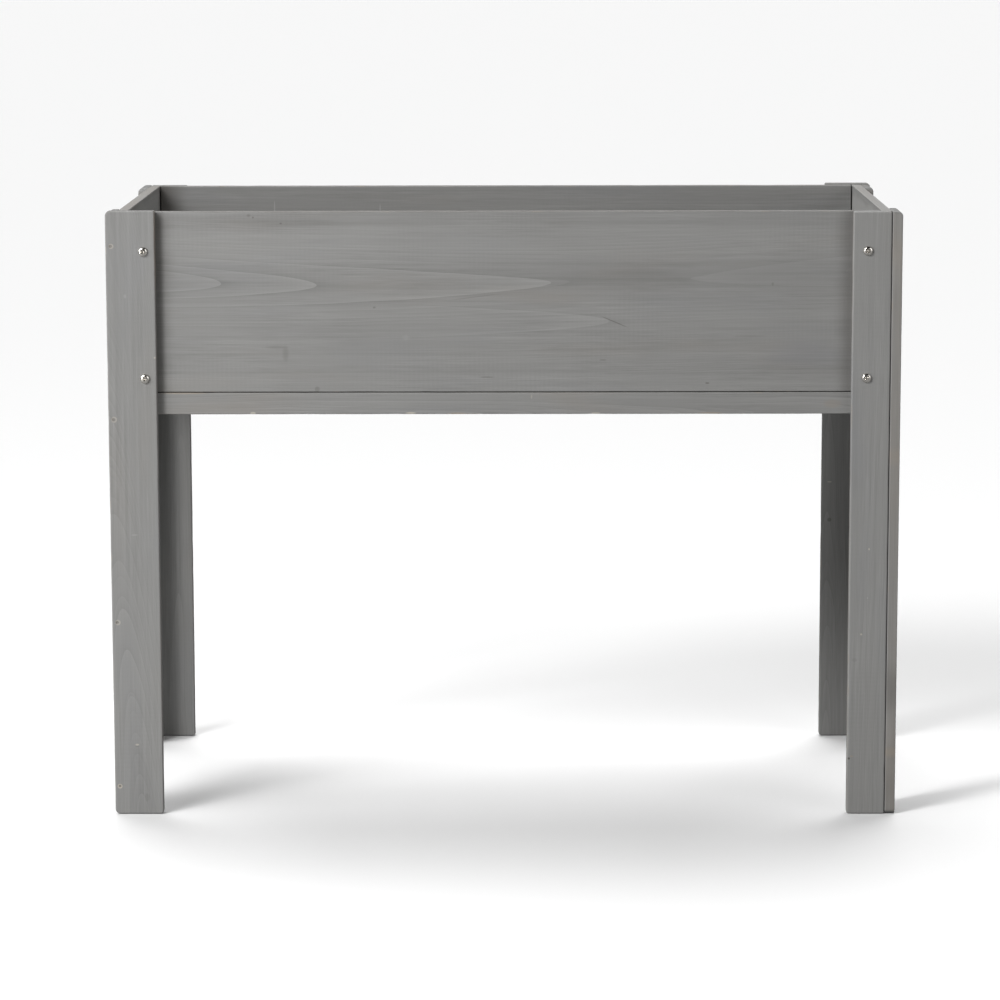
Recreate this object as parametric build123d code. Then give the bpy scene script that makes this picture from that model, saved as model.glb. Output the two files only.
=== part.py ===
from build123d import *
import os

# A raised planter on four legs, in millimetres. X runs along the planter, Y from its front to its
# back and Z up. The origin is on the ground under the middle of the planter.
os.makedirs("parts", exist_ok=True)

# Overall size.
planter_length = 1016
planter_depth = 480
planter_height = 787

# Boards. Each leg is an angle of two boards: a wide one that covers the corner, and a narrow one
# butted against its inner face. The wide boards on the long sides stand a little above the rest.
board_thickness = 13
leg_width = 63
top_step = 2
rim_height = planter_height - top_step
eased_edge = 1.2
corner_radius = 6.5
foot_radius = 4
narrow_foot_radius = 3
inner_top_radius = 2
back_top_radius = 8

# Walls: a tall board above a low rail on every side. The long walls fit between the short ones.
rail_bottom = 524
rail_top = 552
wall_bottom = 553
wall_end_gap = 1.5

# Floor: slats across the planter, on battens that also tie each rail to the board above it.
batten_thickness = 18
batten_bottom = 530
batten_top = 566
batten_end_gap = 0.5
slat_count = 9
slat_width = 98
slat_gap = 9
slat_thickness = 12
slat_end_gap = 1

# Leg screws, with a domed head that stands on the leg board.
leg_screw_drops = (52, 215)
leg_screw_from_edge = {True: 48, False: 44}
leg_screw_length = 22
leg_screw_shank = 4.5
leg_screw_head = 12
leg_screw_head_height = 3.3
leg_screw_rounding = 2.3
leg_screw_cross = 6.6
leg_screw_cross_depth = 1.8

# Batten screws, with a countersunk head, and the nails of the legs and the floor.
batten_screw_length = 28
batten_screw_shank = 4
batten_screw_head = 8
batten_screw_sink = 2.2
batten_screw_cross = 4.4
batten_screw_cross_depth = 1.3
long_stations = (-4, -1.5, 1.5, 4)
short_stations = (-150, 0, 150)
leg_nail_drops = (45, 268, 533, 750)
leg_nail = {"length": 38, "shank": 1.8, "head": 3.4, "sink": 0.6}
slat_nail = {"length": 30, "shank": 2, "head": 5, "sink": 0.3}
slat_nail_spread = 30
nail_head_thickness = 1
tip_length = 3
cross_width = 1.3
drill_clearance = 0.05

half_length = planter_length / 2
half_depth = planter_depth / 2
wall_inside = 2 * board_thickness
slat_pitch = slat_width + slat_gap
batten_screw_heights = ((wall_bottom + batten_top) / 2, (rail_top + batten_bottom) / 2)
corners = {
    "front_left": (-1, -1),
    "front_right": (1, -1),
    "back_right": (1, 1),
    "back_left": (-1, 1),
}
sides = {"front": -1, "back": 1}
ends = {"left": -1, "right": 1}


def inward(sign, half, near, far):
    # The span between two distances inward of an outer face, as (low, high).
    return tuple(sorted((sign * (half - near), sign * (half - far))))


def board(x, y, z, grain):
    # A planed board that fills three spans, with its four edges along the grain eased.
    size = [high - low for low, high in (x, y, z)]
    centre = [(high + low) / 2 for low, high in (x, y, z)]
    block = Pos(*centre) * Box(*size)
    return fillet(block.edges().filter_by(grain), eased_edge)


def end_prism(plane, outer, inner, top, radii):
    # A prism through the planter whose outline rounds a leg board's corners, in the order bottom
    # outer, bottom inner, top inner, top outer.
    outline = FilletPolyline(
        (outer, 0), (inner, 0), (inner, top), (outer, top), radius=radii, close=True
    )
    return extrude(plane * make_face(outline), amount=planter_length, both=True)


def turned(profile):
    # A solid turned about Z from a closed line in the XZ plane.
    return revolve(make_face(Plane.XZ * profile), Axis.Z)


def pointed_shank(radius, length, clearance):
    # A shank that hangs from Z = 0 and ends in a point.
    wide = radius + clearance
    straight = tip_length - length
    line = Polyline((0, 0), (wide, 0), (wide, straight), (0, -length - clearance), close=True)
    return turned(line)


def cross_recess(top, span, depth):
    slot = Pos(0, 0, top - depth / 2) * Box(span, cross_width, depth)
    return slot + Rot(0, 0, 90) * slot


def leg_screw(clearance=0):
    # The head sits on Z = 0. With a clearance it is the cutter for the hole.
    shank = pointed_shank(leg_screw_shank / 2, leg_screw_length, clearance)
    if clearance:
        return shank
    rim = leg_screw_head / 2
    height = leg_screw_head_height
    radii = (0, 0, leg_screw_rounding, 0)
    head = turned(FilletPolyline((0, 0), (rim, 0), (rim, height), (0, height), radius=radii, close=True))
    return head + shank - cross_recess(height, leg_screw_cross, leg_screw_cross_depth)


def batten_screw(clearance=0):
    # The head is flush with Z = 0. With a clearance it is the cutter for the hole.
    rim = batten_screw_head / 2 + clearance
    neck = batten_screw_shank / 2 + clearance
    outline = Polyline((0, 0), (rim, 0), (neck, -batten_screw_sink), (0, -batten_screw_sink), close=True)
    body = turned(outline) + pointed_shank(batten_screw_shank / 2, batten_screw_length, clearance)
    if clearance:
        return body
    return body - cross_recess(0, batten_screw_cross, batten_screw_cross_depth)


def nail(length, shank, head, sink, clearance=0):
    # A flat-headed nail driven a little below Z = 0. With a clearance it is the cutter for the hole.
    head_top = 0 if clearance else -sink
    head_bottom = -sink - nail_head_thickness
    rim = head / 2 + clearance
    outline = Polyline((0, head_top), (rim, head_top), (rim, head_bottom), (0, head_bottom), close=True)
    return turned(outline) + Pos(0, 0, -sink) * pointed_shank(shank / 2, length, clearance)


def drive(fastener, spots):
    # Copies of a fastener, or of its cutter, at each (point, direction out of the wood).
    return [Plane(origin=point, z_dir=outward) * fastener for point, outward in spots]


def drilled(shape, cutters):
    # A board less the holes of the fasteners that reach it.
    box = shape.bounding_box()
    for cutter in cutters:
        reach = cutter.bounding_box()
        overlaps = [
            reach.min.X < box.max.X and reach.max.X > box.min.X,
            reach.min.Y < box.max.Y and reach.max.Y > box.min.Y,
            reach.min.Z < box.max.Z and reach.max.Z > box.min.Z,
        ]
        if all(overlaps):
            shape = shape - cutter
    return shape


def leg_face_board(sign_x, sign_y):
    # The leg board in the plane of the long wall. It covers the corner where both signs agree.
    covers = sign_x == sign_y
    x = inward(sign_x, half_length, 0 if covers else board_thickness, leg_width)
    y = inward(sign_y, half_depth, 0, board_thickness)
    top = planter_height if covers else rim_height
    outer = sign_x * (half_length - (0 if covers else board_thickness))
    inner = sign_x * (half_length - leg_width)
    wide_radii = [corner_radius, foot_radius, inner_top_radius, corner_radius]
    narrow_radii = [0, narrow_foot_radius, inner_top_radius, 0]
    radii = wide_radii if covers else narrow_radii
    return board(x, y, (0, top), Axis.Z) & end_prism(Plane.XZ, outer, inner, top, radii)


def leg_side_board(sign_x, sign_y):
    # The leg board in the plane of the short wall. Its outer top edge is rounded over.
    covers = sign_x != sign_y
    start = 0 if covers else board_thickness
    x = inward(sign_x, half_length, 0, board_thickness)
    y = inward(sign_y, half_depth, start, leg_width)
    outer_x = sign_x * half_length
    inner_x = sign_x * (half_length - board_thickness)
    outer_y = sign_y * (half_depth - start)
    inner_y = sign_y * (half_depth - leg_width)
    wide_radii = [corner_radius, foot_radius, back_top_radius, inner_top_radius]
    narrow_radii = [0, narrow_foot_radius, back_top_radius, 0]
    radii = wide_radii if covers else narrow_radii
    blank = board(x, y, (0, rim_height), Axis.Z)
    rounded_over = blank & end_prism(Plane.XZ, outer_x, inner_x, rim_height, [0, 0, 0, corner_radius])
    return rounded_over & end_prism(Plane.YZ, outer_y, inner_y, rim_height, radii)


def leg_screw_spots(sign_x, sign_y):
    # Two screws through each of the leg's boards into the wall behind it.
    covers = sign_x == sign_y
    across = half_length - leg_screw_from_edge[covers]
    along = half_depth - leg_screw_from_edge[not covers]
    spots = []
    for drop in leg_screw_drops:
        height = planter_height - drop
        spots.append(((sign_x * across, sign_y * half_depth, height), (0, sign_y, 0)))
        spots.append(((sign_x * half_length, sign_y * along, height), (sign_x, 0, 0)))
    return spots


def leg_nail_spots(sign_x, sign_y):
    # Nails through the wide board into the edge of the narrow one.
    middle = board_thickness / 2
    spots = []
    for drop in leg_nail_drops:
        height = planter_height - drop
        if sign_x == sign_y:
            point = (sign_x * (half_length - middle), sign_y * half_depth, height)
            spots.append((point, (0, sign_y, 0)))
        else:
            point = (sign_x * half_length, sign_y * (half_depth - middle), height)
            spots.append((point, (sign_x, 0, 0)))
    return spots


def long_wall(sign_y, bottom, top):
    reach = half_length - wall_inside - wall_end_gap
    y = inward(sign_y, half_depth, board_thickness, wall_inside)
    return board((-reach, reach), y, (bottom, top), Axis.X)


def short_wall(sign_x, bottom, top):
    reach = half_depth - board_thickness
    x = inward(sign_x, half_length, board_thickness, wall_inside)
    return board(x, (-reach, reach), (bottom, top), Axis.Y)


def long_batten(sign_y):
    reach = half_length - wall_inside - batten_end_gap
    y = inward(sign_y, half_depth, wall_inside, wall_inside + batten_thickness)
    return board((-reach, reach), y, (batten_bottom, batten_top), Axis.X)


def short_batten(sign_x):
    reach = half_depth - wall_inside - batten_thickness - batten_end_gap
    x = inward(sign_x, half_length, wall_inside, wall_inside + batten_thickness)
    return board(x, (-reach, reach), (batten_bottom, batten_top), Axis.Y)


def long_batten_spots(sign_y):
    inner = sign_y * (half_depth - wall_inside - batten_thickness)
    spots = []
    for station in long_stations:
        for height in batten_screw_heights:
            spots.append(((station * slat_pitch, inner, height), (0, -sign_y, 0)))
    return spots


def short_batten_spots(sign_x):
    inner = sign_x * (half_length - wall_inside - batten_thickness)
    spots = []
    for station in short_stations:
        for height in batten_screw_heights:
            spots.append(((inner, station, height), (-sign_x, 0, 0)))
    return spots


def slat_middle(index):
    return (index - (slat_count - 1) / 2) * slat_pitch


def slat(index):
    middle = slat_middle(index)
    reach = half_depth - wall_inside - slat_end_gap
    x = (middle - slat_width / 2, middle + slat_width / 2)
    return board(x, (-reach, reach), (batten_top, batten_top + slat_thickness), Axis.Y)


def slat_nail_spots(sign_y):
    row = sign_y * (half_depth - wall_inside - batten_thickness / 2)
    spots = []
    for index in range(slat_count):
        for offset in (-slat_nail_spread, slat_nail_spread):
            point = (slat_middle(index) + offset, row, batten_top + slat_thickness)
            spots.append((point, (0, 0, 1)))
    return spots


boards = {}
fasteners = {}
cutters = []


def add_fasteners(name, fastener, cutter, spots):
    fasteners[name] = Compound(drive(fastener, spots))
    cutters.extend(drive(cutter, spots))


leg_screw_pair = (leg_screw(), leg_screw(drill_clearance))
batten_screw_pair = (batten_screw(), batten_screw(drill_clearance))
leg_nail_pair = (nail(**leg_nail), nail(**leg_nail, clearance=drill_clearance))
slat_nail_pair = (nail(**slat_nail), nail(**slat_nail, clearance=drill_clearance))

for corner, (sign_x, sign_y) in corners.items():
    face_kind, side_kind = ("wide", "narrow") if sign_x == sign_y else ("narrow", "wide")
    boards[f"{corner}_leg_{face_kind}_board"] = leg_face_board(sign_x, sign_y)
    boards[f"{corner}_leg_{side_kind}_board"] = leg_side_board(sign_x, sign_y)
    add_fasteners(f"{corner}_leg_screws", *leg_screw_pair, leg_screw_spots(sign_x, sign_y))
    add_fasteners(f"{corner}_leg_nails", *leg_nail_pair, leg_nail_spots(sign_x, sign_y))

for side, sign_y in sides.items():
    boards[f"{side}_wall_board"] = long_wall(sign_y, wall_bottom, rim_height)
    boards[f"{side}_bottom_rail"] = long_wall(sign_y, rail_bottom, rail_top)
    boards[f"{side}_floor_batten"] = long_batten(sign_y)
    add_fasteners(f"{side}_batten_screws", *batten_screw_pair, long_batten_spots(sign_y))
    add_fasteners(f"{side}_slat_nails", *slat_nail_pair, slat_nail_spots(sign_y))

for end, sign_x in ends.items():
    boards[f"{end}_wall_board"] = short_wall(sign_x, wall_bottom, rim_height)
    boards[f"{end}_bottom_rail"] = short_wall(sign_x, rail_bottom, rail_top)
    boards[f"{end}_floor_batten"] = short_batten(sign_x)
    add_fasteners(f"{end}_batten_screws", *batten_screw_pair, short_batten_spots(sign_x))

for index in range(slat_count):
    boards[f"floor_slat_{index + 1}"] = slat(index)

for name, shape in boards.items():
    export_step(drilled(shape, cutters), f"parts/{name}.step")
for name, shape in fasteners.items():
    export_step(shape, f"parts/{name}.step")
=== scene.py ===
import math
import random

import bmesh
import bpy
from mathutils import Matrix, Vector, noise


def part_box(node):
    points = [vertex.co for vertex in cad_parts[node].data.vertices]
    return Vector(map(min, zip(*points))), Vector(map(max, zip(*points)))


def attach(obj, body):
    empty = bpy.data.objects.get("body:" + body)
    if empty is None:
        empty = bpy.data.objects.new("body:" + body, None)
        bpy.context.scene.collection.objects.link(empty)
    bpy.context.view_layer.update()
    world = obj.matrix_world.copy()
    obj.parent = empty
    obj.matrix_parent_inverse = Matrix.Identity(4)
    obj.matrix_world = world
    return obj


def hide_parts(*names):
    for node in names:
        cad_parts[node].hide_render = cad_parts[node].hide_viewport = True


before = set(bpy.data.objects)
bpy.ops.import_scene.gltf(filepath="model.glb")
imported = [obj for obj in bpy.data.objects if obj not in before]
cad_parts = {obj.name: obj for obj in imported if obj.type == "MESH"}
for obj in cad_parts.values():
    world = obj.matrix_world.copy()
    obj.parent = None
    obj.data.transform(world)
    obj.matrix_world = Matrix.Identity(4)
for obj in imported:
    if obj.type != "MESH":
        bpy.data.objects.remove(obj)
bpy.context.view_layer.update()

mm = 0.001
axisIndex = {"x": 0, "y": 1, "z": 2}
halfLength, halfDepth = 0.508, 0.240  # of the whole planter, in metres

# camera, as (right, up, forward) turned by small angles in radians
cameraSetup = {
    "place": (0.0314, -5.0143, 1.1691),
    "turn": -0.0077,
    "lookDown": 0.1568,
    "lean": -0.0021,
    "lens": 135.2,
    "sensor": 36,
    "farthest": 200,
}


def placeCamera():
    data = bpy.data.cameras.new("camera")
    data.lens = cameraSetup["lens"]
    data.sensor_width = cameraSetup["sensor"]
    data.clip_end = cameraSetup["farthest"]
    camera = bpy.data.objects.new("camera", data)
    bpy.context.collection.objects.link(camera)
    turn, down, lean = cameraSetup["turn"], cameraSetup["lookDown"], cameraSetup["lean"]
    ahead = Vector((math.sin(turn) * math.cos(down), math.cos(turn) * math.cos(down), -math.sin(down)))
    level = Vector((math.cos(turn), -math.sin(turn), 0))
    upright = level.cross(ahead)
    right = level * math.cos(lean) + upright * math.sin(lean)
    up = upright * math.cos(lean) - level * math.sin(lean)
    turned = Matrix((right, up, -ahead)).transposed().to_4x4()
    camera.matrix_world = Matrix.Translation(cameraSetup["place"]) @ turned
    bpy.context.scene.camera = camera


placeCamera()
print("camera placed")


# a socket that adds Math nodes when it is used in an expression
class Value:
    def __init__(self, sheet, link):
        self.sheet, self.link = sheet, link

    def math(self, operation, *others, clamp=False):
        settings = {"operation": operation, "use_clamp": clamp}
        return self.sheet.node("ShaderNodeMath", settings, dict(enumerate((self,) + others)))

    def reflected(self, operation, other):
        return self.sheet.node("ShaderNodeMath", {"operation": operation}, {0: other, 1: self})

    def __add__(self, other):
        return self.math("ADD", other)

    __radd__ = __add__

    def __sub__(self, other):
        return self.math("SUBTRACT", other)

    def __rsub__(self, other):
        return self.reflected("SUBTRACT", other)

    def __mul__(self, other):
        return self.math("MULTIPLY", other)

    __rmul__ = __mul__

    def __truediv__(self, other):
        return self.math("DIVIDE", other)

    def __rtruediv__(self, other):
        return self.reflected("DIVIDE", other)

    def __pow__(self, other):
        return self.math("POWER", other)

    def __rpow__(self, other):
        return self.reflected("POWER", other)

    def __abs__(self):
        return self.math("ABSOLUTE")

    def kept(self):
        return self.math("ADD", 0, clamp=True)

    def lowest(self, other):
        return self.math("MINIMUM", other)

    def smooth(self, low, high, fromLow=0, fromHigh=1):
        # eases from fromLow to fromHigh while the value goes from low to high
        settings = {"interpolation_type": "SMOOTHSTEP"}
        inputs = {"Value": self, "From Min": low, "From Max": high, "To Min": fromLow, "To Max": fromHigh}
        return self.sheet.node("ShaderNodeMapRange", settings, inputs)


# one material and its nodes
class Finish:
    def __init__(self, name):
        self.material = bpy.data.materials.new(name)
        self.material.use_nodes = True
        self.tree = self.material.node_tree
        self.shader = next(n for n in self.tree.nodes if n.type == "BSDF_PRINCIPLED")

    def feed(self, socket, value):
        if isinstance(value, Value):
            self.tree.links.new(value.link, socket)
        elif isinstance(value, (tuple, list)) and len(value) == 3 and socket.type == "RGBA":
            socket.default_value = (*value, 1)
        else:
            socket.default_value = value

    def node(self, kind, settings=None, inputs=None, output=0):
        made = self.tree.nodes.new(kind)
        for key, value in (settings or {}).items():
            if key == "stops":
                ramp = made.color_ramp.elements
                while len(ramp) < len(value):
                    ramp.new(1)
                for element, (place, tone) in zip(ramp, value):
                    element.position = place
                    element.color = (tone, tone, tone, 1)
            else:
                setattr(made, key, value)
        for key, value in (inputs or {}).items():
            self.feed(made.inputs[key], value)
        return Value(self, made.outputs[output])

    def mix(self, amount, first, second):
        # colours by amount; sockets 6 and 7 are A and B of a colour mix
        return self.node("ShaderNodeMix", {"data_type": "RGBA"}, {0: amount, 6: first, 7: second}, output=2)

    def place(self):
        return self.node("ShaderNodeTexCoord", output="Object")

    def split(self, vector):
        return [self.node("ShaderNodeSeparateXYZ", None, {0: vector}, output=axis) for axis in "XYZ"]

    def join(self, x, y, z):
        return self.node("ShaderNodeCombineXYZ", None, {0: x, 1: y, 2: z})

    def cloud(self, vector, scale, detail=2, roughness=0.5):
        # noise from 0 to 1 about 0.5
        inputs = {"Vector": vector, "Scale": scale, "Detail": detail, "Roughness": roughness}
        return self.node("ShaderNodeTexNoise", None, inputs, output="Fac")

    def end(self, **sockets):
        for key, value in sockets.items():
            self.feed(self.shader.inputs[key], value)
        return self.material

    def bump(self, height, strength, distance):
        inputs = {"Strength": strength, "Distance": distance, "Height": height}
        return self.node("ShaderNodeBump", None, inputs, output="Normal")


# grey wash over planed softwood, in linear colour
washColours = {
    "dark": (0.131, 0.130, 0.1265),
    # pale is also the paint for painted light inside the end walls
    "pale": (0.374, 0.3715, 0.362),
    "warm": (0.270, 0.243, 0.214),
    "cool": (0.236, 0.241, 0.257),
    # bare wood for chips and nail rings, also the painted highlight beside nail holes
    "bare": (0.500, 0.462, 0.400),
    "tan": (0.330, 0.288, 0.238),
    # knot is also the paint for painted shade and painted shadows on the walls
    "knot": (0.095, 0.088, 0.080),
}


def ringTone(turn):
    # the wash sits dark where a ring starts and pale where it ends
    part = turn.math("FRACT")
    return part ** 5 - (1 - part) ** 7


belowWhole = 0.99999  # keeps the last ring from wrapping to nothing


def ringTurns(wood, radius, look):
    # counts the rings a point has passed, from measured radii or from one even gap
    edges = look.get("ringEdges")
    if not edges:
        return radius / look["ringGap"]
    first, last, count = edges[0], edges[-1], len(edges) - 1
    stops = [((edge - first) / (last - first), number / count) for number, edge in enumerate(edges)]
    place = (radius / mm - first) / (last - first)
    ramp = wood.node("ShaderNodeValToRGB", {"stops": stops}, {0: place})
    return wood.node("ShaderNodeRGBToBW", None, {0: ramp}) * count * belowWhole


archEdge = {"line": 0.02, "shade": 0.6, "fadeFrom": 0.3}


def archTone(along, across, arch):
    # one pointed arch of a ring: pale inside its line, dark outside
    gap = (arch["tip"][0] * mm - along) * arch["opens"]
    off = across - arch["tip"][1] * mm + gap * arch.get("tilt", 0)
    inside = gap * arch["wide"] * mm - off * off
    near = 1 - gap.smooth(archEdge["fadeFrom"] * arch["long"] * mm, arch["long"] * mm)
    deep = arch["fade"] * mm * mm
    line = archEdge["line"] * deep
    pale = inside.smooth(0, line) * (1 - inside.smooth(0, deep))
    dark = (1 - inside.smooth(-line, 0)) * inside.smooth(-archEdge["shade"] * deep, 0)
    return (pale * arch["pale"] - dark * arch["dark"]) * near


# noise over a board: scales along and across the grain, then where the pattern starts
woodNoise = {
    "slow": {"along": 2.2, "across": 6, "detail": 2, "slide": 1},
    "quick": {"along": 10, "across": 30, "detail": 3, "slide": 1},
    "fibre": {"along": 26, "across": 750, "detail": 2, "roughness": 0.6, "slide": 1},
    "streak": {"along": 4, "across": 260, "detail": 3, "roughness": 0.6, "slide": -1},
    "patch": {"along": 6, "across": 30, "detail": 2, "slide": 1},
    "stain": {"along": 7, "across": 16, "detail": 3, "slip": 1},
    "tint": {"along": 4, "across": 18, "detail": 2, "offset": 9, "slip": -1},
    "rub": {"along": 30, "across": 30, "detail": 3, "slide": 1},
}
# how a ring's strength comes and goes along the board
ringMood = {
    "coarse": {"along": 1.6, "offset": 0, "step": 0.37, "between": (0.30, 0.62)},
    "fine": {"along": 1.8, "offset": 7, "step": 0.21, "between": (0.42, 0.66)},
}
washSettings = {
    "endGrain": 0.18,
    "roughness": 0.60,
    "specular": 0.3,
    "bumpStrength": 0.30,
    "bumpDepth": 0.35,
    "fibreRelief": 0.4,
    "ringRelief": 0.15,
    "planerRelief": 0.10,
    "markDip": 0.4,
}


def grainSpace(wood, node, look):
    # distances along the grain, across it and through the board, from its middle
    low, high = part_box(node)
    order = [axisIndex[letter] for letter in look["axes"]]
    parts = wood.split(wood.place())
    space = {"parts": parts, "order": order, "shift": random.Random(look["seed"]).uniform(0, 40)}
    for name, index in zip(("along", "across", "through"), order):
        space[name] = parts[index] - (low[index] + high[index]) / 2
    space["reach"] = [(high[index] - low[index]) / 2 for index in order]
    return space


def grainCloud(wood, space, name):
    pattern, shift = woodNoise[name], space["shift"]
    start = shift * pattern.get("slide", 0) + pattern.get("offset", 0)
    along = space["along"] * pattern["along"] + start
    across = space["across"] * pattern["across"] + shift * pattern.get("slip", 0)
    place = wood.join(along, across, space["through"] * pattern["across"])
    return wood.cloud(place, 1, pattern["detail"], pattern.get("roughness", 0.5))


def moodOf(wood, space, turns, name):
    pattern = ringMood[name]
    along = space["along"] * pattern["along"] + pattern["offset"]
    place = wood.join(along, turns * pattern["step"] + space["shift"], 0.0)
    return wood.cloud(place, 1, 2).smooth(*pattern["between"])


def growthRings(wood, space, slow, quick, look):
    # rings round a leaning pith: the coarse ones alone, then all as they show on the wash
    pith, along = look["pith"], space["along"]
    centre = along * pith["lean"] + pith["across"]
    depth = along * pith.get("rise", 0) + pith["depth"]
    if "crest" in pith:
        gap = along - pith["crest"]
        fall = gap.smooth(-pith["blend"], pith["blend"], pith["fallBefore"], pith["fallAfter"])
        depth = pith["depth"] - fall * ((gap * gap * (1 / pith["round"] ** 2) + 1) ** 0.5 - 1)
        centre = centre + along * along * pith["sag"]
    sideways = space["across"] - centre + slow * look["wander"]
    inward = depth + space["through"] * look["heart"] + slow * look["wander"] * 0.6
    radius = (sideways * sideways + inward * inward) ** 0.5 + quick * look["ripple"]
    turns = ringTurns(wood, radius, look)
    coarse = ringTone(turns)
    mood = moodOf(wood, space, turns.math("FLOOR"), "coarse")
    shown = coarse * (mood * 0.8 + 0.2) * radius.smooth(*look["ringFade"]) * look["ringAmount"]
    fineTurns = radius / look["fineGap"] + slow * 2
    fine = ringTone(fineTurns) * moodOf(wood, space, fineTurns, "fine") * look["fineAmount"]
    return coarse, shown + fine


def stripeTone(wood, space, slow, look):
    # broad stripes from one side of the board to the other
    place = (space["across"] + slow * 0.02) / (2 * space["reach"][1]) + 0.5
    stripes = wood.node("ShaderNodeValToRGB", {"stops": look["stripes"]}, {0: place})
    return (wood.node("ShaderNodeRGBToBW", None, {0: stripes}) - 0.5) * look["stripeAmount"]


def markMask(space, spot, quick):
    # a knot, chip, crack, nail ring, or a band of painted shade or light, at a measured place, in the planter's
    # millimetres
    places = dict(zip("xyz", space["parts"]))
    first, second = [places[letter] - value * mm for letter, value in zip(spot["on"], spot["at"])]
    angle = math.radians(spot.get("turn", 0))
    u = (first * math.cos(angle) + second * math.sin(angle)) / (spot["size"][0] * mm)
    v = (second * math.cos(angle) - first * math.sin(angle)) / (spot["size"][1] * mm)
    spread = (u * u + v * v) ** 0.5 + quick * spot.get("rough", 0.8)
    if spot["kind"] == "ring":
        return (1 - abs(spread - 1)).smooth(0.45, 0.8)
    return 1 - spread.smooth(spot.get("soft", 0.55), 1.05)


def woodFinish(node, look):
    wood = Finish(f"{node}_wash")
    space = grainSpace(wood, node, look)
    along, across, order, reach = space["along"], space["across"], space["order"], space["reach"]
    slow, quick, fibre, streak, stain = [
        grainCloud(wood, space, name) - 0.5 for name in ("slow", "quick", "fibre", "streak", "stain")
    ]
    patch = grainCloud(wood, space, "patch").smooth(0.3, 0.7, 0.5, 1.5)
    tint = grainCloud(wood, space, "tint")
    rub = grainCloud(wood, space, "rub")
    rings, ringsShown = growthRings(wood, space, slow, quick, look)
    ripple = (along * (2 * math.pi / look["planerStep"]) + stain * 3).math("SINE")
    rippleMood = wood.cloud(wood.join(along * 5, across * 9 + space["shift"], 0.0), 1, 2).smooth(0.4, 0.7)

    tone = (
        along * look["toneLean"]
        + look["tone"]
        + ringsShown
        + (fibre * look["fibreAmount"] + streak * look["streakAmount"]) * patch
        + stain * look["stainAmount"]
        + ripple * rippleMood * look["planerAmount"]
    )
    for arch in look.get("arches", ()):
        tone = tone + archTone(along, across + slow * 0.004, arch)
    if "stripes" in look:
        tone = tone + stripeTone(wood, space, slow, look)

    # ends drink more stain, and handled edges rub paler; the paler arris is also a painted highlight where eased
    # edges catch the light
    facing = wood.split(wood.node("ShaderNodeNewGeometry", output="Normal"))
    endGrain = abs(facing[order[0]]).smooth(0.6, 0.9)
    sawnEdge = abs(facing[order[1]]).smooth(0.8, 0.95)
    edge = (reach[1] - abs(across)).lowest(reach[0] - abs(along))
    nearEdge = 1 - edge.smooth(0.2 * look["rubWidth"], look["rubWidth"])
    nearFace = 1 - (reach[2] - abs(space["through"])).smooth(0.8 * mm, 2.2 * mm)
    arris = nearEdge * nearFace
    # wear and painted highlight: the arris is made paler in patches
    rubbedAndSheen = arris * (rub.smooth(0.30, 0.62) * 0.7 + 0.3)
    chipped = arris * rub.smooth(0.60, 0.70)
    tone = tone - endGrain * washSettings["endGrain"] + rubbedAndSheen * look["rubAmount"]

    colour = wood.mix(tone.kept(), washColours["dark"], washColours["pale"])
    colour = wood.mix(tint.smooth(0.52, 0.80) * look["warmth"], colour, washColours["warm"])
    colour = wood.mix((1 - tint).smooth(0.52, 0.80) * look["coolness"], colour, washColours["cool"])
    colour = wood.mix(sawnEdge * tint.smooth(0.2, 0.7) * look["edgeWarmth"], colour, washColours["warm"])
    colour = wood.mix(chipped * look["chipAmount"], colour, washColours["tan"])

    relief = (
        fibre * washSettings["fibreRelief"]
        + rings * washSettings["ringRelief"]
        + ripple * washSettings["planerRelief"]
    )
    for spot in look.get("marks", ()):
        mask = markMask(space, spot, quick)
        colour = wood.mix(mask * spot.get("amount", 0.7), colour, washColours[spot["paint"]])
        relief = relief - mask * washSettings["markDip"]
    normal = wood.bump(relief, washSettings["bumpStrength"], washSettings["bumpDepth"] * mm)
    roughness = washSettings["roughness"] + fibre * 0.14 - rubbedAndSheen * 0.08 + stain * 0.08
    shine = {"Specular IOR Level": washSettings["specular"]}
    return wood.end(**{"Base Color": colour, "Roughness": roughness, "Normal": normal}, **shine)


# board shape, in millimetres: rounded corners are (grain end, side, radius) with ends and sides -1 or 1
boardCut = {
    "arris": 1.2,
    "cornerSteps": 8,
    "arrisSteps": 3,
    "cutAlong": 14,
    "cutAcross": 70,
    "wear": 0.45,
    "wearScale": 45,
    "squareFrom": 50,
    "sharpFrom": 14,
    "nailSides": 20,
    "nailFlare": 1.12,
}


def halfSpace(bm, point, outward):
    # trims everything outward of a plane and closes the cut
    geometry = bm.verts[:] + bm.edges[:] + bm.faces[:]
    cut = bmesh.ops.bisect_plane(bm, geom=geometry, plane_co=point, plane_no=outward, clear_outer=True)
    rim = [item for item in cut["geom_cut"] if isinstance(item, bmesh.types.BMEdge)]
    if len(rim) > 2:
        bmesh.ops.contextual_create(bm, geom=rim)


def roundEdge(bm, corner, first, second, radius):
    # rounds the edge where two faces meet, seen as two outward directions
    centre = corner - (first + second) * radius
    steps = boardCut["cornerSteps"]
    for step in range(steps):
        angle = math.pi / 2 * (step + 0.5) / steps
        outward = first * math.cos(angle) + second * math.sin(angle)
        halfSpace(bm, centre + outward * radius, outward)


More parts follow.
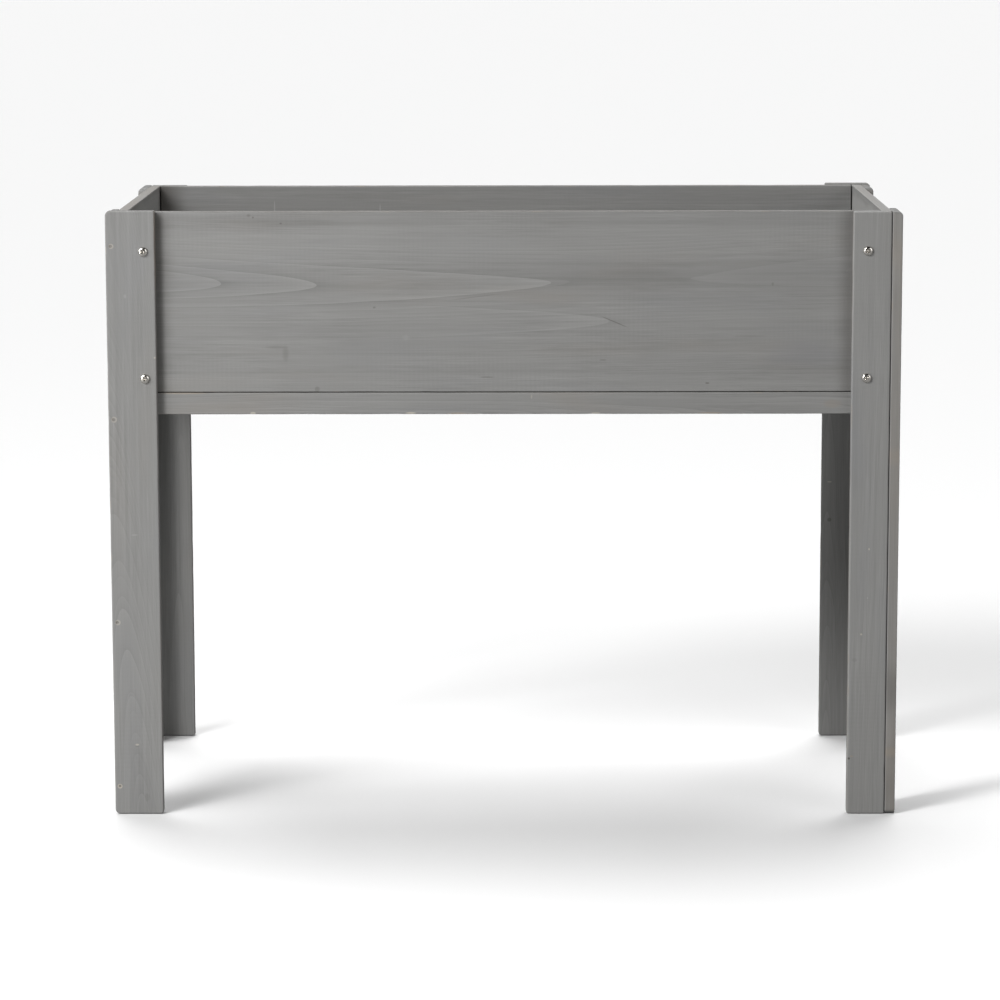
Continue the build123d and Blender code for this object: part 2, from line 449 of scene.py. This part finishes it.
def boardMesh(node, look):
    low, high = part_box(node)
    for letter, sign, amount in look.get("trims", ()):
        side = high if sign > 0 else low
        side[axisIndex[letter]] -= sign * amount * mm
    middle, size = (low + high) / 2, high - low
    bm = bmesh.new()
    bmesh.ops.create_cube(bm, size=1)
    for vert in bm.verts:
        vert.co = Vector(a * b for a, b in zip(vert.co, size)) + middle
    for first, second, radius in look.get("rounds", ()):
        directions = []
        corner = middle.copy()
        for letter, sign in (first, second):
            index = axisIndex[letter]
            direction = Vector((0, 0, 0))
            direction[index] = sign
            directions.append(direction)
            corner[index] = high[index] if sign > 0 else low[index]
        roundEdge(bm, corner, *directions, radius * mm)
    square = math.radians(boardCut["squareFrom"])
    sharp = [e for e in bm.edges if e.is_manifold and e.calc_face_angle() > square]
    bmesh.ops.bevel(
        bm, geom=sharp, offset=look["arris"] * mm, segments=boardCut["arrisSteps"],
        profile=0.5, affect="EDGES", clamp_overlap=False,
    )
    order = [axisIndex[letter] for letter in look["axes"]]
    for index, step in ((order[0], boardCut["cutAlong"]), (order[1], boardCut["cutAcross"])):
        count = int(size[index] / (step * mm))
        normal = Vector((0, 0, 0))
        normal[index] = 1
        for number in range(1, count):
            point = low.copy()
            point[index] = low[index] + size[index] * number / count
            geometry = bm.verts[:] + bm.edges[:] + bm.faces[:]
            bmesh.ops.bisect_plane(bm, geom=geometry, plane_co=point, plane_no=normal)
    wearBoard(bm, middle, size, order, look["seed"])
    mesh = bpy.data.meshes.new(f"{node}_wood")
    bm.to_mesh(mesh)
    bm.free()
    return mesh


def wearBoard(bm, middle, size, order, seed):
    # arrises that hands have rubbed: the long edges wander inward a little
    across = order[1]
    for vert in bm.verts:
        offset = vert.co - middle
        if abs(offset[across]) > size[across] / 2 - 1.5 * boardCut["arris"] * mm:
            rubbing = max(0, noise.noise(vert.co * boardCut["wearScale"] + Vector((seed, 0, 0))))
            vert.co[across] -= math.copysign(rubbing * boardCut["wear"] * mm, offset[across])


def link(name, mesh):
    piece = bpy.data.objects.new(name, mesh)
    bpy.context.collection.objects.link(piece)
    return piece


def dimples(piece, spots, radius, depth):
    # sinks a small round hole at each (point, outward direction)
    bm = bmesh.new()
    for point, outward in spots:
        turn = Vector((0, 0, 1)).rotation_difference(outward).to_matrix().to_4x4()
        matrix = Matrix.Translation(point) @ turn
        bmesh.ops.create_cone(
            bm, cap_ends=True, segments=boardCut["nailSides"], radius1=radius,
            radius2=radius * boardCut["nailFlare"], depth=depth * 2, matrix=matrix,
        )
    mesh = bpy.data.meshes.new("dimples")
    bm.to_mesh(mesh)
    bm.free()
    cutter = link("dimples", mesh)
    modifier = piece.modifiers.new("dimples", "BOOLEAN")
    modifier.operation, modifier.solver, modifier.object = "DIFFERENCE", "EXACT", cutter
    graph = bpy.context.evaluated_depsgraph_get()
    fresh = bpy.data.meshes.new_from_object(piece.evaluated_get(graph))
    piece.modifiers.clear()
    piece.data = fresh
    bpy.data.objects.remove(cutter)
    bpy.data.meshes.remove(mesh)


def finishBoard(node, look, nails=()):
    piece = link(f"{node}_wood", boardMesh(node, look))
    if nails:
        dimples(piece, nails, look["nailHole"] * mm, look["nailSink"] * mm)
    piece.data.materials.clear()
    piece.data.materials.append(woodFinish(node, look))
    piece.data.polygons.foreach_set("use_smooth", [True] * len(piece.data.polygons))
    piece.data.set_sharp_from_angle(angle=math.radians(boardCut["sharpFrom"]))
    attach(piece, "root")
    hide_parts(node)
    return piece


plainWood = {
    "axes": "zxy",
    "arris": 1.2,
    "tone": 0.5,
    "toneLean": 0,
    "edgeWarmth": 0.35,
    "heart": 1,
    "wander": 0.010,
    "ripple": 0.0010,
    "ringGap": 0.0055,
    "ringFade": (0.066, 0.080, 1, 0.45),
    "ringAmount": 0.09,
    "fineGap": 0.0019,
    "fineAmount": 0.09,
    "fibreAmount": 0.24,
    "streakAmount": 0.34,
    "stainAmount": 0.12,
    "planerStep": 0.0060,
    "planerAmount": 0.010,
    "rubWidth": 1.9 * mm,
    "rubAmount": 0.16,
    "chipAmount": 0.5,
    "warmth": 0.22,
    "coolness": 0.20,
    "nailHole": 1.95,
    "nailSink": 0.8,
}


def randomPith(rng):
    return {
        "across": rng.uniform(-0.03, 0.03),
        "lean": rng.uniform(-0.03, 0.03),
        "depth": rng.uniform(0.03, 0.07),
        "rise": rng.choice((-1, 1)) * rng.uniform(0.01, 0.04),
    }


def looks(node, **changes):
    rng = random.Random(node)
    look = dict(plainWood, seed=rng.randint(1, 900), pith=randomPith(rng))
    look.update(changes)
    return look


legs = {
    "front_left": (-1, -1),
    "front_right": (1, -1),
    "back_right": (1, 1),
    "back_left": (-1, 1),
}
legCorners = {"outer": 6.5, "foot": 4, "narrowFoot": 3, "top": 2, "backTop": 8}
legNailDrops = (45, 268, 533, 750)
legTop = 787
legArris = 1.7
legGap = 0.9
halfThickness = 6.5


def mark(kind, on, at, size, paint, **more):
    # one mark on a board: place and half size in millimetres, along the two letters of on
    return dict(kind=kind, on=on, at=at, size=size, paint=paint, **more)


faceMarks = {
    "front_left": [
        mark("stain", "xz", (-445, 745), (1.5, 75), "tan", amount=0.6, soft=0.3),
        mark("chip", "xz", (-478.1, 92.4), (3.4, 1.7), "bare", rough=1.2),
        mark("chip", "xz", (-478.1, 89.9), (3.6, 0.8), "knot", amount=0.3),
        mark("knot", "xz", (-466.4, 22), (4.2, 5.5), "knot", amount=0.12),
        mark("knot", "xz", (-484, 678), (2.2, 3.2), "pale", amount=0.3),
        mark("dash", "xz", (-477, 369), (6, 1.4), "pale", amount=0.4),
        mark("chip", "xz", (-447.0, 599), (1.8, 1.6), "bare", amount=0.6),
    ],
    "front_right": [
        mark("chip", "xz", (470.2, 349.6), (1.1, 1.8), "bare", amount=0.8),
        mark("chip", "xz", (469.0, 285.6), (0.9, 1.5), "pale", amount=0.8),
        mark("chip", "xz", (461.5, 237.9), (1.7, 1.5), "bare"),
        mark("knot", "xz", (453.0, 204), (4.0, 3.0), "knot", amount=0.12),
        mark("hole", "xz", (447.6, 73.6), (1.8, 2.0), "knot", amount=0.9),
        mark("chip", "xz", (450.8, 76.5), (3.0, 1.4), "tan", amount=0.6),
    ],
    "back_right": [
        mark("chip", "xz", (455.9, 366), (3.4, 1.1), "bare", amount=0.6),
        mark("knot", "xz", (456.5, 312), (3.2, 3.2), "knot", amount=0.5),
    ],
    "back_left": [],
}
faceWood = {
    "front_left": {
        "pith": {"across": -0.0272, "lean": -0.083, "depth": 0.0504, "rise": 0.072},
        "ringEdges": (27, 32, 36.5, 40.4, 45, 49.5, 54, 59, 64, 69, 74, 79, 84, 89),
        "ringFade": (0.046, 0.060, 1, 0.25), "ringAmount": 0.11, "wander": 0.004, "heart": 0.2,
        "tone": 0.52, "toneLean": -0.20,
    },
    "front_right": {
        "pith": {"across": 0.050, "lean": 0.03, "depth": 0.050, "rise": 0.02},
        # the front right leg's arrises are made paler still: wear and a painted highlight on its lit inner edge
        "ringAmount": 0.06, "coolness": 0.30, "warmth": 0.1, "tone": 0.60, "rubAmount": 0.30,
    },
    # painted shade: the back right leg is toned darker, as it stands in the box's shadow
    "back_right": {"tone": 0.44},
    "back_left": {"tone": 0.50},
}
sideMarks = {
    "front_right": [
        mark("stain", "yz", (-240, 735), (14, 34), "tan", amount=0.25, soft=0.1),
        mark("stain", "yz", (-240, 470), (10, 16), "tan", amount=0.35, soft=0.1),
        mark("stain", "yz", (-240, 165), (8, 42), "knot", amount=0.3, soft=0.1),
        mark("stain", "yz", (-240, 82), (8, 9), "tan", amount=0.6, soft=0.1),
        mark("stain", "yz", (-240, 36), (8, 34), "knot", amount=0.16, soft=0.1),
    ],
}
sideWood = {"front_right": {"tone": 0.54, "toneLean": 0.12, "stainAmount": 0.24, "edgeWarmth": 0.5}}


# shift pushes each pale ring towards one side of its hole: a painted highlight on the hole's lit wall
nailRing = {"size": (2.6, 2.6), "shift": 1.5, "amounts": (0.42, 0.38, 0.45, 0.95), "rough": 1.6}


def nailRings(spots, letters):
    # bare wood burst up on the lower side of each nail hole, and a painted highlight: the ring is pushed to the
    # side where the hole's wall catches the light
    rings = []
    for (point, _), amount in zip(spots, nailRing["amounts"]):
        first, second = [point[axisIndex[letter]] / mm for letter in letters]
        at = (first + nailRing["shift"] * (1 - amount), second)
        rings.append(mark("ring", letters, at, nailRing["size"], "bare", amount=amount, rough=nailRing["rough"]))
    return rings


def buildLeg(name, signX, signY):
    covers = signX == signY
    faceKind, sideKind = ("wide", "narrow") if covers else ("narrow", "wide")
    faceNode, sideNode = f"{name}_leg_{faceKind}_board", f"{name}_leg_{sideKind}_board"
    heights = [(legTop - drop) * mm for drop in legNailDrops]
    outX, outY = signX * halfLength, signY * halfDepth
    inset = halfThickness * mm
    if covers:
        spots = [(Vector((outX - signX * inset, outY, h)), Vector((0, signY, 0))) for h in heights]
    else:
        spots = [(Vector((outX, outY - signY * inset, h)), Vector((signX, 0, 0))) for h in heights]
    top, foot, outer = legCorners["top"], legCorners["foot"], legCorners["outer"]
    narrowFoot, backTop = legCorners["narrowFoot"], legCorners["backTop"]

    faceRounds = [(("z", -1), ("x", -signX), foot if covers else narrowFoot), (("z", 1), ("x", -signX), top)]
    if covers:
        faceRounds += [(("z", -1), ("x", signX), outer), (("z", 1), ("x", signX), outer)]
    sideRounds = [
        (("z", 1), ("x", signX), outer),
        (("z", 1), ("y", -signY), backTop),
        (("z", -1), ("y", -signY), narrowFoot if covers else foot),
    ]
    if not covers:
        sideRounds += [(("z", 1), ("y", signY), top), (("z", -1), ("y", signY), outer)]

    marks = list(faceMarks[name])
    if covers:
        marks += nailRings(spots, "xz")
    faceChanges = {"axes": "zxy", "rounds": faceRounds, "marks": marks, "arris": legArris}
    if not covers:
        faceChanges["trims"] = [("x", signX, legGap)]
    faceChanges.update(faceWood.get(name, {}))
    beside = sideMarks.get(name, []) + ([] if covers else nailRings(spots, "yz"))
    sideChanges = {
        "axes": "zyx", "rounds": sideRounds, "marks": beside, "warmth": 0.35, "edgeWarmth": 0.8,
        "trims": [("y", signY, legGap)] if covers else [],
    }
    sideChanges.update(sideWood.get(name, {}))
    finishBoard(faceNode, looks(faceNode, **faceChanges), spots if covers else ())
    finishBoard(sideNode, looks(sideNode, **sideChanges), () if covers else spots)


for legName, (signX, signY) in legs.items():
    buildLeg(legName, signX, signY)
print("legs planed")

# the front wall's figure: rings crest right of its middle
frontPith = {
    "across": 0.0230,
    "lean": 0.0146,
    "sag": 0.0515,
    "depth": 0.06186,
    "crest": 0.150,
    "fallBefore": 0.0040,
    "fallAfter": 0.0039,
    "round": 0.170,
    "blend": 0.02,
}
frontRings = (46.5, 49.2, 51.9, 54.6, 60, 64.6, 69.5, 76, 84, 93, 104, 118, 135, 155)
frontArches = [
    {"tip": (135, -25.0), "opens": 1, "wide": 1.7, "tilt": 0, "long": 420, "fade": 130, "pale": 0.10, "dark": 0.06},
]
frontStripes = [
    (0.00, 0.52), (0.06, 0.56), (0.12, 0.44), (0.17, 0.54), (0.26, 0.46), (0.33, 0.50), (0.42, 0.56),
    (0.50, 0.52), (0.57, 0.50), (0.64, 0.42), (0.715, 0.38), (0.735, 0.56), (0.80, 0.64), (0.90, 0.62),
    (0.935, 0.46), (0.965, 0.44), (1.00, 0.50),
]
frontMarks = [
    # painted shade: a dark band along the top edge tones down the highlight where its arris faces the high lamps
    mark("stain", "xz", (0, 785.6), (900, 2.6), "knot", amount=0.4, soft=0.3),
    mark("stain", "xz", (155, 696), (110, 22), "knot", amount=0.17, soft=0.2),
    # painted shadows: dark bands at both ends of the front wall, where the leg boards stand proud and shade it
    mark("stain", "xz", (-450, 670), (30, 900), "knot", amount=0.50, soft=0),
    mark("stain", "xz", (446, 670), (26, 900), "knot", amount=0.42, soft=0),
    # a darker, cooler patch at the lower right of the front wall
    mark("stain", "xz", (384, 603), (66, 26), "cool", amount=0.36, soft=0.2),
    mark("stain", "xz", (395, 590), (70, 36), "knot", amount=0.09, soft=0.2),
    mark("stain", "xz", (-300, 772), (150, 16), "knot", amount=0.12, soft=0.1),
    mark("stain", "xz", (-225, 770), (170, 6.5), "knot", amount=0.17, soft=0.1),
    mark("stain", "xz", (-126, 623), (7, 5), "pale", amount=0.2, soft=0.2),
    mark("knot", "xz", (-325.5, 780), (3.4, 2.4), "knot", amount=0.35, soft=0.2, rough=2),
    mark("knot", "xz", (-320, 777.5), (1.4, 1.4), "knot", amount=0.5),
    mark("knot", "xz", (-284.7, 769.8), (1.7, 1.2), "knot", amount=0.55),
    mark("knot", "xz", (-166, 662), (2.4, 1.6), "knot", amount=0.42),
    mark("knot", "xz", (343.8, 691.5), (1.6, 2.4), "knot", amount=0.3),
    mark("knot", "xz", (261, 564), (3.0, 1.0), "knot", amount=0.6),
    mark("knot", "xz", (-240, 556.6), (3.0, 3.4), "knot", amount=0.3, rough=2),
    mark("smudge", "xz", (-280, 601), (5, 15), "knot", amount=0.22, soft=0.1, rough=2),
    mark("smudge", "xz", (-290, 611), (20, 2.4), "knot", amount=0.26, soft=0.1),
    {"kind": "crack", "on": "xz", "at": (142, 643), "size": (21, 0.8), "turn": -23, "paint": "knot", "amount": 0.5},
    mark("crack", "xz", (-22, 572), (11, 0.8), "knot", amount=0.5),
    mark("crack", "xz", (127, 594), (5, 0.8), "knot", amount=0.4),
    {"kind": "crack", "on": "xz", "at": (-39, 675), "size": (40, 0.9), "turn": 7, "paint": "knot", "amount": 0.25},
    mark("crack", "xz", (312, 624.7), (30, 0.8), "knot", amount=0.25),
]
railMarks = [
    mark("chip", "xz", (35.3, 546.6), (1.2, 3.4), "bare", amount=0.35),
    mark("stain", "xz", (422, 537), (15, 7), "warm", amount=0.45),
    mark("chip", "xz", (-120, 525.5), (10, 1.8), "bare", amount=0.9),
    mark("chip", "xz", (-323, 525.5), (4, 1.8), "bare", amount=0.8),
    mark("chip", "xz", (-412, 551.5), (34, 1.4), "tan", amount=0.7),
    mark("chip", "xz", (-60, 525.2), (14, 1.2), "tan", amount=0.8),
    mark("chip", "xz", (118, 525.2), (7, 1.3), "bare", amount=0.6),
    mark("chip", "xz", (265, 525.2), (18, 1.2), "tan", amount=0.7),
]
backMarks = [
    # painted shade: a dark band at the left end of the back wall, in the inside corner the left wall shades
    mark("stain", "xz", (-484, 740), (46, 900), "knot", amount=0.95, soft=0),
    mark("crack", "xz", (-322, 755), (1.0, 11), "pale", amount=0.5),
    mark("crack", "xz", (-175, 752), (0.9, 9), "pale", amount=0.5),
]

# painted light: a pale band near the top of each end wall, where its inner face takes the lamps' light
paintedInsideLight = mark("stain", "yz", (0, 755), (420, 26), "pale", soft=0.7)


def buildWalls():
    finishBoard(
        "front_wall_board",
        looks(
            "front_wall_board", axes="xzy", pith=frontPith, ringEdges=frontRings, arches=frontArches,
            stripes=frontStripes, stripeAmount=0.45, marks=frontMarks, wander=0.0015, ripple=0.0007,
            ringAmount=0.17, ringFade=(0.0600, 0.0680, 1, 0.20), heart=0.2, warmth=0.24, fineAmount=0.12,
            fineGap=0.0026, rubAmount=0.07, planerAmount=0.016,
        ),
    )
    railLook = looks("front_bottom_rail", axes="xzy", marks=railMarks, warmth=0.4)
    finishBoard("front_bottom_rail", railLook)
    backLook = looks("back_wall_board", axes="xzy", marks=backMarks, tone=0.45)
    finishBoard("back_wall_board", backLook)
    finishBoard("back_bottom_rail", looks("back_bottom_rail", axes="xzy"))
    # painted light: both end walls are toned paler than plain wood, and the right one most, as its inner face faces
    # the lamps; its pale band is strongest too
    for end, tone, litPaleness in (("left", 0.58, 0.40), ("right", 0.70, 0.90)):
        inside = dict(paintedInsideLight, amount=litPaleness)
        look = looks(f"{end}_wall_board", axes="yzx", tone=tone, marks=[inside])
        finishBoard(f"{end}_wall_board", look)
        finishBoard(f"{end}_bottom_rail", looks(f"{end}_bottom_rail", axes="yzx"))



buildWalls()
print("walls planed")

floorBoards = {"count": 9, "nailRow": 0.205, "nailSpread": 0.030}


def buildFloor():
    for side in ("front", "back"):
        finishBoard(f"{side}_floor_batten", looks(f"{side}_floor_batten", axes="xzy"))
    for end in ("left", "right"):
        finishBoard(f"{end}_floor_batten", looks(f"{end}_floor_batten", axes="yzx"))
    for number in range(1, floorBoards["count"] + 1):
        node = f"floor_slat_{number}"
        low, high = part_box(node)
        middle = (low[0] + high[0]) / 2
        spots = []
        for row in (-floorBoards["nailRow"], floorBoards["nailRow"]):
            for offset in (-floorBoards["nailSpread"], floorBoards["nailSpread"]):
                spots.append((Vector((middle + offset, row, high[2])), Vector((0, 0, 1))))
        look = looks(node, axes="yxz", nailHole=2.7, nailSink=0.5, stainAmount=0.16, warmth=0.4)
        finishBoard(node, look, spots)


buildFloor()
print("floor laid")

screwLook = {
    "head": 6.0,
    "height": 3.3,
    "shank": 2.25,
    "length": 22,
    "recess": 3.4,
    "recessDepth": 2.0,
    "slotWidth": 0.95,
    "point": 2,
    "taper": 4,
    "side": 0.75,
    "domeSteps": 8,
    "crown": 0.42,
    "turns": 56,
    "coneSides": 24,
    "sharpFrom": 40,
}
metalNoise = {"smear": 900, "dull": 260, "darken": 0.45, "bumpStrength": 0.08, "bumpDepth": 0.1}


def metalFinish(name, colour, roughness, tarnish, metallic=1.0):
    metal = Finish(name)
    place = metal.place()
    smear = metal.cloud(place, metalNoise["smear"], 3)
    dull = metal.cloud(place, metalNoise["dull"], 2).smooth(0.45, 0.75)
    dark = tuple(part * metalNoise["darken"] for part in colour)
    tone = metal.mix(dull * tarnish, colour, dark)
    rough = roughness + smear * 0.12 + dull * 0.1
    normal = metal.bump(smear, metalNoise["bumpStrength"], metalNoise["bumpDepth"] * mm)
    return metal.end(**{"Base Color": tone, "Metallic": metallic, "Roughness": rough, "Normal": normal})


nickel = metalFinish("bright_nickel", (0.80, 0.77, 0.72), 0.16, 0.25)
zinc = metalFinish("zinc_plate", (0.62, 0.61, 0.58), 0.30, 0.4)
steel = metalFinish("nail_steel", (0.255, 0.240, 0.220), 0.5, 0.3, 0.1)


def lathe(bm, profile, turns):
    # spins (radius, height) points about Z into a closed skin
    rings = []
    for radius, height in profile:
        if radius == 0:
            rings.append([bm.verts.new((0, 0, height))])
        else:
            steps = [2 * math.pi * number / turns for number in range(turns)]
            rings.append([bm.verts.new((radius * math.cos(a), radius * math.sin(a), height)) for a in steps])
    for lower, upper in zip(rings, rings[1:]):
        for number in range(turns):
            after = (number + 1) % turns
            if len(lower) == 1:
                corners = (lower[0], upper[after], upper[number])
            elif len(upper) == 1:
                corners = (lower[number], lower[after], upper[0])
            else:
                corners = (lower[number], lower[after], upper[after], upper[number])
            bm.faces.new(corners)


def domeScrewMesh():
    # a domed head with a cross recess, over a pointed shank; the head sits on Z = 0
    look = screwLook
    rim, height = look["head"] * mm, look["height"] * mm
    shank, length = look["shank"] * mm, look["length"] * mm
    point, taper, side = [look[key] * mm for key in ("point", "taper", "side")]
    profile = [(0, -length), (shank * 0.55, point - length), (shank, taper - length), (shank, -0.2 * mm)]
    profile += [(rim * 0.93, 0), (rim, 0.18 * mm), (rim, side)]
    for step in range(1, look["domeSteps"] + 1):
        angle = math.pi / 2 * step / look["domeSteps"]
        reach = look["crown"] + (1 - look["crown"]) * math.cos(angle) ** 0.9
        profile.append((rim * reach, side + (height - side) * math.sin(angle)))
    profile.append((0, height))
    bm = bmesh.new()
    lathe(bm, profile, look["turns"])
    bmesh.ops.recalc_face_normals(bm, faces=bm.faces)
    mesh = bpy.data.meshes.new("dome_screw")
    bm.to_mesh(mesh)
    bm.free()
    return crossCut(mesh, height, look["recess"] * mm, look["recessDepth"] * mm, look["slotWidth"] * mm)


def crossCut(mesh, top, span, depth, width):
    # cuts a tapered cross into the top of a head
    bm = bmesh.new()
    for quarter in (0, math.pi / 2):
        turn = Matrix.Rotation(quarter, 4, "Z")
        tip, mouth = width * 0.55, width
        points = []
        for z, reach, side in ((top - depth, span * 0.35, tip), (top + 0.5 * mm, span * 1.04, mouth * 1.1)):
            points += [turn @ Vector((x * reach, y * side, z)) for x, y in ((-1, -1), (1, -1), (1, 1), (-1, 1))]
        verts = [bm.verts.new(point) for point in points]
        for corners in ((3, 2, 1, 0), (4, 5, 6, 7), (0, 1, 5, 4), (1, 2, 6, 5), (2, 3, 7, 6), (3, 0, 4, 7)):
            bm.faces.new([verts[corner] for corner in corners])
    cone = Matrix.Translation((0, 0, top - depth * 0.5))
    bmesh.ops.create_cone(
        bm, cap_ends=True, segments=screwLook["coneSides"], radius1=width * 0.8, radius2=span * 0.52,
        depth=depth * 1.3, matrix=cone,
    )
    cutMesh = bpy.data.meshes.new("cross")
    bm.to_mesh(cutMesh)
    bm.free()
    cutter, head = link("cross", cutMesh), link("head", mesh)
    modifier = head.modifiers.new("cross", "BOOLEAN")
    modifier.operation, modifier.solver, modifier.object = "DIFFERENCE", "EXACT", cutter
    modifier.use_self = True
    graph = bpy.context.evaluated_depsgraph_get()
    cut = bpy.data.meshes.new_from_object(head.evaluated_get(graph))
    bpy.data.objects.remove(cutter)
    bpy.data.objects.remove(head)
    return cut


def screwGroup(node, mesh, spots, material, seed):
    # copies of one screw, each turned its own way, joined into the piece for a node
    rng = random.Random(seed)
    bm = bmesh.new()
    for point, outward in spots:
        turn = Vector((0, 0, 1)).rotation_difference(outward).to_matrix().to_4x4()
        spin = Matrix.Rotation(rng.uniform(0, math.pi), 4, "Z")
        copy = mesh.copy()
        copy.transform(Matrix.Translation(point) @ turn @ spin)
        bm.from_mesh(copy)
        bpy.data.meshes.remove(copy)
    joined = bpy.data.meshes.new(f"{node}_metal")
    bm.to_mesh(joined)
    bm.free()
    piece = link(f"{node}_metal", joined)
    joined.materials.clear()
    joined.materials.append(material)
    joined.polygons.foreach_set("use_smooth", [True] * len(joined.polygons))
    joined.set_sharp_from_angle(angle=math.radians(screwLook["sharpFrom"]))
    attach(piece, "root")
    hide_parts(node)


legScrews = {"drops": (52, 215), "wideIn": 48, "narrowIn": 44}


def buildScrews():
    dome = domeScrewMesh()
    for seed, (name, (signX, signY)) in enumerate(legs.items()):
        covers = signX == signY
        faceIn, sideIn = ("wideIn", "narrowIn") if covers else ("narrowIn", "wideIn")
        spots = []
        for drop in legScrews["drops"]:
            height = (legTop - drop) * mm
            x = signX * (halfLength - legScrews[faceIn] * mm)
            y = signY * (halfDepth - legScrews[sideIn] * mm)
            spots.append((Vector((x, signY * halfDepth, height)), Vector((0, signY, 0))))
            spots.append((Vector((signX * halfLength, y, height)), Vector((signX, 0, 0))))
        screwGroup(f"{name}_leg_screws", dome, spots, nickel, seed)
    for node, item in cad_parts.items():
        if node.endswith("_batten_screws"):
            item.data.materials.clear()
            item.data.materials.append(zinc)
        elif node.endswith("_nails"):
            item.data.materials.clear()
            item.data.materials.append(steel)


buildScrews()
print("screws driven")

studio = {
    "aim": (0, 0, 0.55),
    "floorRadius": 90,
    "floorDrop": 0.5,
    "floorColour": (0.96, 0.96, 0.96),
    "floorBounce": (0.25, 0.25, 0.25),
    "softboxes": {
        "high_left": {"from": (-1.6, -2.0, 2.4), "size": 1.0, "power": 37.5},
        "side_left": {"from": (-2.4, -0.9, 1.3), "size": 1.0, "power": 11.7},
        "low_left": {"from": (-1.9, -2.1, 0.55), "size": 0.6, "power": 16.4},
    },
    "skylights": {
        "left": {"turn": -50, "height": 30, "spread": 18, "strength": 1.10},
        "right": {"turn": 45, "height": 15, "spread": 40, "strength": 0.74},
        "behind": {"turn": 180, "height": 60, "spread": 50, "strength": 2.68},
    },
}


def aimLight(name, data, source, target):
    light = bpy.data.objects.new(name, data)
    bpy.context.collection.objects.link(light)
    light.location = source
    light.rotation_euler = (target - source).to_track_quat("-Z", "Y").to_euler()


def buildStudio():
    scene = bpy.context.scene
    scene.view_settings.view_transform = "Standard"
    world = bpy.data.worlds.new("studio")
    world.use_nodes = True
    world.node_tree.nodes["Background"].inputs["Color"].default_value = (0, 0, 0, 1)
    scene.world = world
    aimPoint = Vector(studio["aim"])
    for name, lamp in studio["softboxes"].items():
        data = bpy.data.lights.new(name, "AREA")
        data.shape, data.size, data.energy = "DISK", lamp["size"], lamp["power"]
        aimLight(name, data, Vector(lamp["from"]), aimPoint)
    for name, lamp in studio["skylights"].items():
        data = bpy.data.lights.new(name, "SUN")
        data.angle, data.energy = math.radians(lamp["spread"]), lamp["strength"]
        turn, height = math.radians(lamp["turn"]), math.radians(lamp["height"])
        level = math.cos(height)
        source = Vector((math.sin(turn) * level, -math.cos(turn) * level, math.sin(height)))
        aimLight(name, data, source * 4, Vector((0, 0, 0)))
    bm = bmesh.new()
    bmesh.ops.create_circle(bm, cap_ends=True, segments=96, radius=studio["floorRadius"])
    mesh = bpy.data.meshes.new("floor")
    bm.to_mesh(mesh)
    bm.free()
    floor = link("floor", mesh)
    floor.location = (0, 0, -studio["floorDrop"] * mm)
    paper = Finish("paper")
    seen = paper.node("ShaderNodeBsdfDiffuse", None, {"Color": studio["floorColour"]})
    bounced = paper.node("ShaderNodeBsdfDiffuse", None, {"Color": studio["floorBounce"]})
    ray = paper.node("ShaderNodeLightPath", output="Is Camera Ray")
    shown = paper.node("ShaderNodeMixShader", None, {0: ray, 1: bounced, 2: seen})
    output = next(n for n in paper.tree.nodes if n.type == "OUTPUT_MATERIAL")
    paper.feed(output.inputs["Surface"], shown)
    mesh.materials.append(paper.material)


buildStudio()
print("studio lit")
